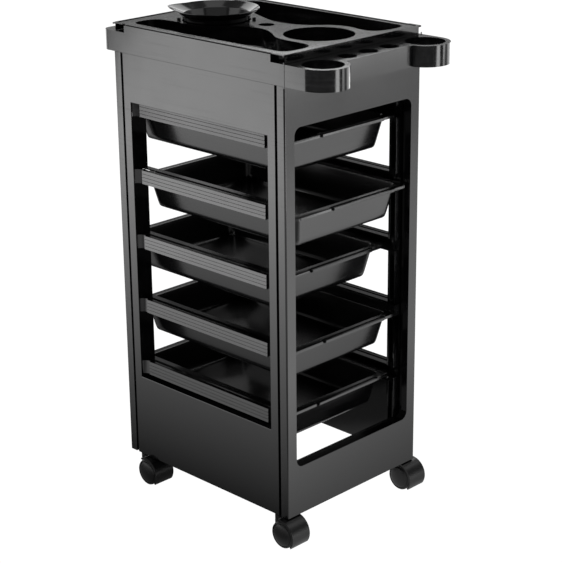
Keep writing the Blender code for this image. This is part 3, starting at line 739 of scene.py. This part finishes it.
def side_panel(name, side):
    """side is -1 for the left and 1 for the right."""
    length = SIDE_HALF_LENGTH
    inside = (-WINDOW_HALF_LENGTH, WINDOW_HALF_LENGTH)
    back = SIDE_THICK + WALL

    slab = bmesh.new()
    side_box(slab, side, (0.0, SIDE_THICK), (-length, length), (BODY_BOTTOM, BODY_TOP))
    window = bmesh.new()
    side_box(window, side, (-WALL, back), inside, (WINDOW_LOW, BAR_TOPS[0]))
    hollows = bmesh.new()
    side_box(hollows, side, (WALL, back), inside, (BAR_TOPS[0] + WALL, BODY_TOP - WALL))
    side_box(hollows, side, (WALL, back), inside, (BODY_BOTTOM - WALL, WINDOW_LOW - WALL))
    slots = side_prism(side, upright_slots(), (WALL, back))
    cuts = (window, hollows, slots, side_holes(side))
    shape = carve(slab, *(("DIFFERENCE", cut) for cut in cuts))
    shape = soften(shape, width=0.0007, segments=3)

    steps = [("UNION", bar(side, top, index == 0)) for index, top in enumerate(BAR_TOPS)]
    tongues = bmesh.new()
    depths = (TONGUE_DEPTH, TONGUE_DEPTH + WALL - GAP)
    heights = (BODY_BOTTOM + TONGUE_INSET, BODY_TOP - TONGUE_INSET)
    for sign in (-1, 1):
        ys = sorted((sign * (length - WALL), sign * (length + TONGUE_REACH)))
        side_box(tongues, side, depths, ys, heights)
    passages = bmesh.new()
    for top in BAR_TOPS:
        heights = (top - BAR_HEIGHT + RAIL_FLANGE, top - RAIL_FLANGE)
        side_box(passages, side, (PASSAGE_DEPTH, back), (-length - WALL, length + WALL), heights)
    steps += [("UNION", tongues), ("DIFFERENCE", passages)]
    shape = carve(shape, *steps)
    add_piece(f"{name}_moulding", shape, BODY_PLASTIC, "cabinet", [name])


# ---------------------------------------------------------------- trays


def tray_shape():
    """A tapered tray with a turned-down rim and a stepped finger pull at each end, from height 0."""
    width, length, rim = TRAY_HALF_WIDTH, TRAY_HALF_LENGTH, TRAY_RIM
    under = rim - THIN_WALL
    lip = rim - TRAY_LIP

    def ring(inset, radius, height):
        outline = rounded_rectangle(width - inset, length - inset, radius)
        return [(x, y, height) for x, y in outline]

    shape = loft([
        ring(0.0310, 0.006, 0.0),
        ring(0.0272, 0.009, 0.0006),
        ring(0.0246, 0.012, 0.0026),
        ring(0.0232, 0.013, 0.0062),
        ring(0.0218, 0.014, 0.0110),
        ring(0.0132, 0.014, under - 0.0012),
        ring(0.0120, 0.014, under),
        ring(0.0020, 0.011, under),
        ring(0.0020, 0.011, lip),
        ring(0.0, 0.013, lip),
        ring(0.0004, 0.0128, rim - 0.0010),
        ring(0.0008, 0.0126, rim - 0.0003),
        ring(0.0015, 0.0124, rim),
        ring(0.0138, 0.012, rim),
        ring(0.0148, 0.012, rim - 0.0004),
        ring(0.0154, 0.012, rim - 0.0016),
        ring(0.0238, 0.012, 0.0120),
        ring(0.0250, 0.011, 0.0075),
        ring(0.0270, 0.009, 0.0042),
        ring(0.0310, 0.007, 0.0026),
    ])
    fill, step, notch = bmesh.new(), bmesh.new(), bmesh.new()

    def pull_box(target, end, xs, insets, heights):
        left, right = sorted(end * x for x in xs)
        near, far = sorted(end * (length - inset) for inset in insets)
        add_box(target, (left, near, heights[0]), (right, far, heights[1]))

    for end in (-1, 1):
        across = (PULL_NEAR, -PULL_FAR)
        pull_box(fill, end, across, (0.0018, 0.0135), (rim - 0.0068, rim - 0.0012))
        pull_box(step, end, across, (-0.001, 0.0068), (rim - PULL_STEP, rim + 0.001))
        pull_box(notch, end, (PULL_NEAR, PULL_NOTCH_FAR), (-0.001, 0.0066), (lip - 0.001, rim + 0.001))
    shape = carve(shape, ("UNION", fill), ("DIFFERENCE", step), ("DIFFERENCE", notch))
    return soften(shape, width=0.0004, angle=60)


def trays():
    shape = tray_shape()
    for index in range(1, 6):
        name = f"drawer_{index}"
        low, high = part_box(name)
        middle = (low + high) / 2
        matrix = Matrix.Translation((0.0, middle.y - BODY_Y, low.z))
        add_piece(f"tray_{index}", shape.copy(), TRAY_PLASTIC, name, [name], matrix)
    shape.free()


# ---------------------------------------------------------------- top


def top_outline():
    """The frame from above: two rounded corners at the back, and two rings with a strip between in front."""
    back = TOP_HIGH.y - BODY_Y
    turn = math.degrees(math.asin((RING_CENTRE[1] - STRIP_FRONT) / RING_OUTER))
    corner_x, corner_y = SKIRT - FRAME_CORNER, back - FRAME_CORNER
    points = arc((corner_x, corner_y), FRAME_CORNER, 0, 90, 10)
    points += arc((-corner_x, corner_y), FRAME_CORNER, 90, 180, 10)
    points += arc((-RING_CENTRE[0], RING_CENTRE[1]), RING_OUTER, 180, 360 - turn, 36)
    points += arc(RING_CENTRE, RING_OUTER, 180 + turn, 360, 36)
    return points


def top_frame():
    """An open box with raised side walls, holes for the rings and tools, and a seam where the strip starts."""
    bottom = TOP_LOW.z
    roof = LEDGE_TOP - WALL
    back = TOP_HIGH.y - BODY_Y
    slab = shape_from(add_prism, top_outline(), bottom, LEDGE_TOP)
    hollow = bmesh.new()
    strip_half = RING_CENTRE[0] - RING_OUTER - WALL
    add_box(hollow, (-SKIRT + WALL, -HALF_DEPTH, bottom - WALL), (SKIRT - WALL, back - WALL, roof))
    add_box(hollow, (-strip_half, STRIP_FRONT + WALL, bottom - WALL), (strip_half, -HALF_DEPTH - WALL, roof))
    walls = bmesh.new()
    for sign in (-1, 1):
        low = (sign * SKIRT, -RAISED_HALF_LENGTH, LEDGE_TOP - WALL / 2)
        add_box(walls, low, (sign * (SKIRT - WALL), RAISED_HALF_LENGTH, RAISED_TOP))
    holes = bmesh.new()
    well_x, well_y = FRAME_WELL
    add_box(holes, (-well_x, -well_y, roof - WALL), (well_x, well_y, LEDGE_TOP + WALL))
    for sign in (-1, 1):
        ring = (sign * RING_CENTRE[0], RING_CENTRE[1])
        add_cylinder(holes, (*ring, bottom - WALL), (*ring, LEDGE_TOP + WALL), RING_INNER, 64)
    for x in TOOL_HOLES:
        add_cylinder(holes, (x, TOOL_Y, roof - WALL), (x, TOOL_Y, LEDGE_TOP + WALL), TOOL_RADIUS, 48)
    seams = bmesh.new()
    for sign in (-1, 1):
        outline = [
            (sign * (SKIRT + 0.0005), -HALF_DEPTH - SEAM_HALF),
            (sign * (SKIRT + 0.0005), -HALF_DEPTH + SEAM_HALF),
            (sign * (SKIRT - SEAM_DEPTH), -HALF_DEPTH),
        ]
        if sign < 0:
            outline.reverse()
        add_prism(seams, outline, bottom - WALL, LEDGE_TOP + WALL)
    shape = carve(slab, ("DIFFERENCE", hollow), ("UNION", walls), ("DIFFERENCE", holes))
    shape = soften(shape, width=0.0007, segments=3)
    shape = carve(shape, ("DIFFERENCE", seams))
    add_piece("top_frame_moulding", shape, BODY_PLASTIC, "cabinet", ["top_frame"])


LEFT_POCKET = (
    (-0.143, -0.168), (-0.135, -0.182), (-0.112, -0.186), (-0.086, -0.182), (-0.075, -0.166),
    (-0.074, -0.128), (-0.068, -0.093), (-0.045, -0.058), (-0.032, -0.026), (-0.040, 0.010),
    (-0.066, 0.040), (-0.084, 0.066), (-0.088, 0.096), (-0.086, 0.140), (-0.094, 0.168),
    (-0.115, 0.176), (-0.136, 0.172), (-0.143, 0.158),
)
RIGHT_POCKET = (
    (0.143, -0.168), (0.143, 0.158), (0.136, 0.172), (0.112, 0.176), (0.082, 0.172),
    (0.068, 0.152), (0.062, 0.100), (0.046, 0.060), (0.034, 0.030), (0.025, 0.000),
    (0.027, -0.032), (0.042, -0.062), (0.067, -0.090), (0.075, -0.118), (0.070, -0.150),
    (0.072, -0.170), (0.086, -0.182), (0.112, -0.186), (0.135, -0.182),
)


def pocket_shape(outline, grow, floor, top):
    """A pocket whose wall meets its floor in a fillet."""
    steps = 5
    rings = []
    for step in range(steps + 1):
        angle = math.radians(90 * step / steps)
        inset = POCKET_FILLET * (1 - math.sin(angle))
        height = floor + POCKET_FILLET * (1 - math.cos(angle))
        rings.append([(x, y, height) for x, y in grow_outline(outline, grow - inset)])
    rings.append([(x, y, top) for x, y in grow_outline(outline, grow)])
    return loft(rings)


def top_tray():
    """The tray that lies loose in the frame; its pockets hang through the frame's well."""
    inner_side = SKIRT - WALL - 2 * GAP
    rim_low = RIM_TOP - WALL
    outline = rounded_rectangle(inner_side, HALF_DEPTH, TRAY_CORNER, 6)
    plate = shape_from(add_prism, outline, LEDGE_TOP + GAP, RIM_TOP)
    tabs = bmesh.new()
    for sign in (-1, 1):
        near, far = sorted((sign * (RAISED_HALF_LENGTH + WALL), sign * (HALF_DEPTH - GAP)))
        add_box(tabs, (-SKIRT, near, rim_low), (SKIRT, far, RIM_TOP - GAP))
    under = bmesh.new()
    inner_x, inner_y = inner_side - THIN_WALL, HALF_DEPTH - THIN_WALL
    add_box(under, (-inner_x, -inner_y, LEDGE_TOP - WALL), (inner_x, inner_y, rim_low - WEB_DROP))
    outlines = [
        smooth_loop(LEFT_POCKET),
        smooth_loop(RIGHT_POCKET),
        circle(CUP_CENTRE, CUP_RADIUS, 80),
        circle(CLIP_CENTRE, CLIP_RADIUS, 40),
        circle(BOWL_CENTRE, BOWL_POCKET_RADIUS, 80),
    ]
    notches = bmesh.new()
    for side in (-1, 1):
        for end in (-1, 1):
            low = (side * (SKIRT + WALL), end * (RAISED_HALF_LENGTH + GAP), LEDGE_TOP - WALL)
            high = (side * NOTCH_HALF_WIDTH, end * (HALF_DEPTH - NOTCH_WALL), RIM_TOP - NOTCH_ROOF)
            add_box(notches, low, high)
    steps = [("UNION", tabs), ("DIFFERENCE", under)]
    for outline in outlines:
        outside = pocket_shape(outline, THIN_WALL, POCKET_FLOOR - THIN_WALL, rim_low + 0.0005)
        steps.append(("UNION", outside))
    web = rounded_rectangle(inner_side - TRAY_BORDER, HALF_DEPTH - TRAY_BORDER, TRAY_CORNER, 6)
    steps.append(("DIFFERENCE", shape_from(add_prism, web, RIM_TOP - WEB_DROP, RIM_TOP + WALL)))
    steps.append(("DIFFERENCE", notches))
    for outline in outlines:
        steps.append(("DIFFERENCE", pocket_shape(outline, 0.0, POCKET_FLOOR, RIM_TOP + WALL)))
    for turn, long in LUGS:
        lug = shape_from(add_box, (LUG_NEAR, -long, RIM_TOP - LUG_ROOT), (LUG_FAR, long, RIM_TOP + WALL))
        bmesh.ops.rotate(lug, verts=lug.verts, matrix=Matrix.Rotation(math.radians(turn), 3, "Z"))
        bmesh.ops.translate(lug, verts=lug.verts, vec=(*BOWL_CENTRE, 0.0))
        steps.append(("UNION", lug))
    shape = carve(plate, *steps)
    shape = soften(shape, width=0.0006, angle=50)
    add_piece("top_tray_moulding", shape, BODY_PLASTIC, "top_tray", ["top_tray"])


def tint_bowl():
    """A turned bowl with a broad flange that is drawn out to a pouring lip."""
    foot = BOWL_LOW.z
    neck, brim = NECK, BOWL_HIGH.z
    profile = [
        (0.0, foot + 0.0020),
        (0.040, foot + 0.0020),
        (0.0435, foot + 0.0034),
        (0.0452, foot + 0.0070),
        (0.0562, neck - 0.0010),
        (0.0572, neck + 0.0004),
        (0.0592, neck + 0.0014),
        (0.0705, brim - 0.0012),
        (0.0716, brim - 0.0002),
        (0.0724, brim),
        (0.0730, brim - 0.0008),
        (0.0724, brim - 0.0020),
        (0.0604, neck - 0.0004),
        (0.0586, neck - 0.0026),
        (0.0470, foot + 0.0060),
        (0.0455, foot + 0.0016),
        (0.0430, foot),
        (0.0, foot),
    ]
    shape = turned(profile, 96)
    for vertex in shape.verts:
        reach = math.hypot(vertex.co.x, vertex.co.y)
        share = min(1.0, max(0.0, (reach - LIP_START) / LIP_RUN))
        turn = math.atan2(vertex.co.y, vertex.co.x) - math.radians(LIP_ANGLE)
        turn = abs(math.atan2(math.sin(turn), math.cos(turn)))
        nearness = max(0.0, 1 - turn / math.radians(LIP_HALF_ANGLE))
        if share and nearness:
            stretch = 1 + LIP_REACH * share * nearness**LIP_POWER / reach
            vertex.co.x *= stretch
            vertex.co.y *= stretch
    name = "tint_bowl"
    matrix = Matrix.Translation((*BOWL_CENTRE, 0.0))
    add_piece(f"{name}_moulding", shape, BOWL_PLASTIC, name, [name], matrix)


# ---------------------------------------------------------------- casters


def hood_shape():
    """A caster's cover, web and stem boss, with the wheel axle along X through the origin."""
    half = HOOD_HALF_WIDTH
    inside = HOOD_RADIUS - HOOD_WALL

    def wells(web, radius):
        shape = bmesh.new()
        for sign in (-1, 1):
            add_cylinder(shape, (sign * web, 0.0, 0.0), (sign * (half + HOOD_WALL), 0.0, 0.0), radius, 72)
        return shape

    shell = shape_from(add_cylinder, (-half, 0.0, 0.0), (half, 0.0, 0.0), HOOD_RADIUS, 80)
    mouth = shape_from(add_box, (-0.03, -0.06, -0.06), (0.03, 0.06, 0.0))
    bmesh.ops.rotate(mouth, verts=mouth.verts, matrix=Matrix.Rotation(math.radians(MOUTH_TURN), 3, "X"))
    bmesh.ops.translate(mouth, verts=mouth.verts, vec=(0.0, 0.0, MOUTH_RISE))
    top = HOOD_SEAT - WHEEL_RADIUS
    stem = (0.0, CASTER_TRAIL)
    boss = shape_from(add_cylinder, (*stem, top - BOSS_LENGTH), (*stem, top), HOOD_BOSS_RADIUS, 48)
    neck = shape_from(
        add_box, (-HOOD_BOSS_RADIUS, 0.004, 0.010), (HOOD_BOSS_RADIUS, CASTER_TRAIL, top - 0.001)
    )
    bores = bmesh.new()
    add_cylinder(bores, (-0.03, 0.0, 0.0), (0.03, 0.0, 0.0), AXLE_BORE, 32)
    add_cylinder(bores, (*stem, top - HOOD_BORE_DEPTH), (*stem, top + WALL), HOOD_BORE, 32)
    shape = carve(
        shell,
        ("DIFFERENCE", wells(HOOD_WEB, inside)),
        ("DIFFERENCE", mouth),
        ("UNION", neck),
        ("UNION", boss),
        ("DIFFERENCE", wells(HOOD_WEB + 0.0002, inside - 0.0002)),
        ("DIFFERENCE", bores),
    )
    return soften(shape, width=0.0008, segments=3, angle=45)


def wheel_shape():
    """A wheel, its domed cover disc set in the tread by a fine groove, with the inner face at height 0."""
    width = WHEEL_WIDTH
    profile = [
        (0.0, width),
        (0.006, width - 0.0002),
        (0.012, width - 0.0009),
        (0.0165, width - 0.0020),
        (0.0190, width - 0.0030),
        (0.0196, width - 0.0036),
        (0.0198, width - 0.0048),
        (0.0204, width - 0.0048),
        (0.0206, width - 0.0036),
        (0.0214, width - 0.0034),
        (WHEEL_RADIUS - 0.0012, width - 0.0040),
        (WHEEL_RADIUS - 0.0004, width - 0.0048),
        (WHEEL_RADIUS, width - 0.0062),
        (WHEEL_RADIUS, 0.0014),
        (WHEEL_RADIUS - 0.0004, 0.0004),
        (WHEEL_RADIUS - 0.0014, 0.0),
        (0.0120, 0.0),
        (0.0116, 0.0008),
        (0.0070, 0.0008),
        (0.0066, 0.0),
        (AXLE_BORE, 0.0),
        (AXLE_BORE, 0.0133),
        (0.0, 0.0133),
    ]
    return turned(profile, 72)


def casters():
    hood, wheel = hood_shape(), wheel_shape()
    for corner, (side, end) in CORNERS.items():
        centre = Vector((side * CASTER_PLACE[0], end * CASTER_PLACE[1] - CASTER_TRAIL, WHEEL_RADIUS))
        body, node = f"caster_{corner}", f"caster_hood_{corner}"
        matrix = Matrix.Translation(centre)
        add_piece(f"hood_{corner}", hood.copy(), CASTER_PLASTIC, body, [node], matrix)
        for label, sign in (("left", -1), ("right", 1)):
            node = f"wheel_{corner}_{label}"
            matrix = Matrix.Translation(centre + Vector((sign * WHEEL_INNER_FACE, 0.0, 0.0)))
            matrix = matrix @ Matrix.Rotation(math.radians(90 * sign), 4, "Y")
            add_piece(f"{node}_tread", wheel.copy(), CASTER_PLASTIC, node, [node], matrix)
    hood.free()
    wheel.free()


def dress_kept_nodes():
    """The steel parts keep their CAD shape and take the zinc material."""
    for name, node in frame["nodes"].items():
        if name.startswith(("screw_", "caster_sleeve_", "caster_stem_", "caster_axle_")):
            node.data.materials.clear()
            node.data.materials.append(ZINC)


# ---------------------------------------------------------------- studio


def glow_material(name):
    """An emission material, with its tree, its emission node and the socket of the surface's position."""
    made = bpy.data.materials.new(name)
    made.use_nodes = True
    tree = made.node_tree
    tree.nodes.remove(tree.nodes["Principled BSDF"])
    glow = add_node(tree, "ShaderNodeEmission")
    tree.links.new(glow.outputs["Emission"], tree.nodes["Material Output"].inputs["Surface"])
    return made, tree, glow, add_node(tree, "ShaderNodeNewGeometry").outputs["Position"]


def light_table_material():
    """Dark close to the trolley and brighter away from it, mostly in a band from rear left to front right.

    A ramp takes two distances in metres along its direction, and the strengths there.
    """
    made, tree, glow, place = glow_material("studio_light_table")

    def along(x, y):
        node = add_node(tree, "ShaderNodeVectorMath", operation="DOT_PRODUCT")
        node.inputs[1].default_value = Vector((x, y, 0.0)).normalized()
        tree.links.new(place, node.inputs[0])
        return node.outputs["Value"]

    def ramp(source, distances, strengths):
        return ramp_between(tree, source, *distances, *strengths)

    def times(first, second):
        return combine(tree, "MULTIPLY", first, second)

    def plus(first, second):
        return combine(tree, "ADD", first, second)

    ahead = along(0.0, -1.0)
    to_rear = along(1.0, 1.0)
    to_front = along(-1.0, -1.0)
    to_right = along(1.0, -1.0)
    left = ramp(along(-1.0, 0.0), (0.22, 1.75), (0.0, LEFT_GLOW))
    right = times(ramp(ahead, (0.2, 0.65), (0.5, RIGHT_GLOW)), ramp(ahead, (1.65, 1.85), (1.0, 0.75)))
    right = plus(right, ramp(ahead, (2.5, 3.3), (0.0, FAR_RIGHT_GLOW)))
    right = times(right, ramp(to_rear, (-0.25, 0.0), (1.3, 0.9)))
    right = times(right, ramp(to_right, (-0.05, 0.05), (0.0, 1.0)))
    band = times(ramp(to_rear, (0.3, 0.6), (1.0, 0.0)), ramp(to_front, (0.35, 0.6), (1.0, 0.0)))
    rear = ramp(to_rear, (0.9, 1.8), (0.0, REAR_GLOW))
    length = add_node(tree, "ShaderNodeVectorMath", operation="LENGTH")
    tree.links.new(place, length.inputs[0])
    away = length.outputs["Value"]
    dip = plus(ramp(away, (2.6, 2.9), (1.0, 0.05)), ramp(away, (5.0, 5.5), (0.0, 0.95)))
    front = times(ramp(to_front, (0.4, 1.3), (0.0, FRONT_GLOW)), dip)
    total = plus(plus(times(plus(left, right), band), rear), plus(front, BASE_GLOW))
    for degrees, width, strength in STRIPS:
        turn = math.radians(degrees)
        onward = along(math.cos(turn), math.sin(turn))
        across = combine(tree, "ABSOLUTE", along(math.sin(turn), -math.cos(turn)))
        streak = ramp(across, (width * 0.6, width), (strength, 0.0))
        total = plus(total, times(streak, ramp(onward, (1.9, 2.1), (0.0, 1.0))))
    tree.links.new(total, glow.inputs["Strength"])
    return made


def plain(name, height, material):
    mesh = bpy.data.meshes.new(name)
    shape = bmesh.new()
    bmesh.ops.create_grid(shape, x_segments=1, y_segments=1, size=PLAIN_SIZE)
    bmesh.ops.translate(shape, verts=shape.verts, vec=(0.0, 0.0, height))
    shape.to_mesh(mesh)
    shape.free()
    made = bpy.data.objects.new(name, mesh)
    bpy.context.scene.collection.objects.link(made)
    mesh.materials.append(material)
    return made


def floor():
    """The white floor, and over it a light table that only the gloss of the trolley shows."""
    white, _, glow, _ = glow_material("studio_white")
    glow.inputs["Strength"].default_value = WHITE
    plain("studio_floor", 0.0, white)
    table = plain("studio_light_table", TABLE_HEIGHT, light_table_material())
    table.visible_camera = False


def world():
    """White up to a little over the horizon and dim overhead, where the light panels hang."""
    made = bpy.data.worlds.new("studio")
    made.use_nodes = True
    tree = made.node_tree
    glow = tree.nodes["Background"]
    place = add_node(tree, "ShaderNodeTexCoord").outputs["Generated"]
    split = add_node(tree, "ShaderNodeSeparateXYZ")
    tree.links.new(place, split.inputs["Vector"])
    height = ramp_between(tree, split.outputs["Z"], *HORIZON, WHITE, DIM)
    tree.links.new(height, glow.inputs["Strength"])
    glow.inputs["Color"].default_value = (1.0, 1.0, 1.0, 1.0)
    bpy.context.scene.world = made


def light_panel(name, place, target, size, brightness):
    """A soft rectangular light, its power worked out from the brightness of its face."""
    data = bpy.data.lights.new(name, "AREA")
    data.shape = "RECTANGLE"
    data.size, data.size_y = size
    data.energy = brightness * math.pi * size[0] * size[1]
    made = bpy.data.objects.new(name, data)
    made.location = place
    made.rotation_euler = (Vector(target) - Vector(place)).to_track_quat("-Z", "Y").to_euler()
    made.visible_camera = False
    bpy.context.scene.collection.objects.link(made)


def lights():
    for name, side, end, brightness in PANELS:
        place = (side * PANEL_OUT, end * PANEL_OUT, PANEL_HEIGHT)
        light_panel(f"panel_{name}", place, (0.0, 0.0, PANEL_HEIGHT), PANEL_SIZE, brightness)
    place = (0.0, 0.0, OVERHEAD_HEIGHT)
    light_panel("panel_overhead", place, (0.0, 0.0, 0.0), OVERHEAD_SIZE, OVERHEAD_BRIGHTNESS)


def camera():
    data = bpy.data.cameras.new("camera")
    data.sensor_width = SENSOR_WIDTH
    data.lens = LENS
    data.shift_y = CAMERA_SHIFT
    made = bpy.data.objects.new("camera", data)
    made.location = CAMERA_PLACE
    tilt = Euler((math.radians(90 - CAMERA_TILT), 0.0, math.radians(CAMERA_HEADING))).to_matrix()
    roll = Matrix.Rotation(math.radians(CAMERA_ROLL), 3, "Z")
    made.rotation_euler = (tilt @ roll).to_euler()
    bpy.context.scene.collection.objects.link(made)
    bpy.context.scene.camera = made


end_panel("front_panel", -1)
end_panel("rear_panel", 1)
side_panel("left_side_panel", -1)
side_panel("right_side_panel", 1)
trays()
top_frame()
top_tray()
tint_bowl()
casters()
dress_kept_nodes()
floor()
world()
lights()
camera()
bpy.context.scene.view_settings.view_transform = "Standard"
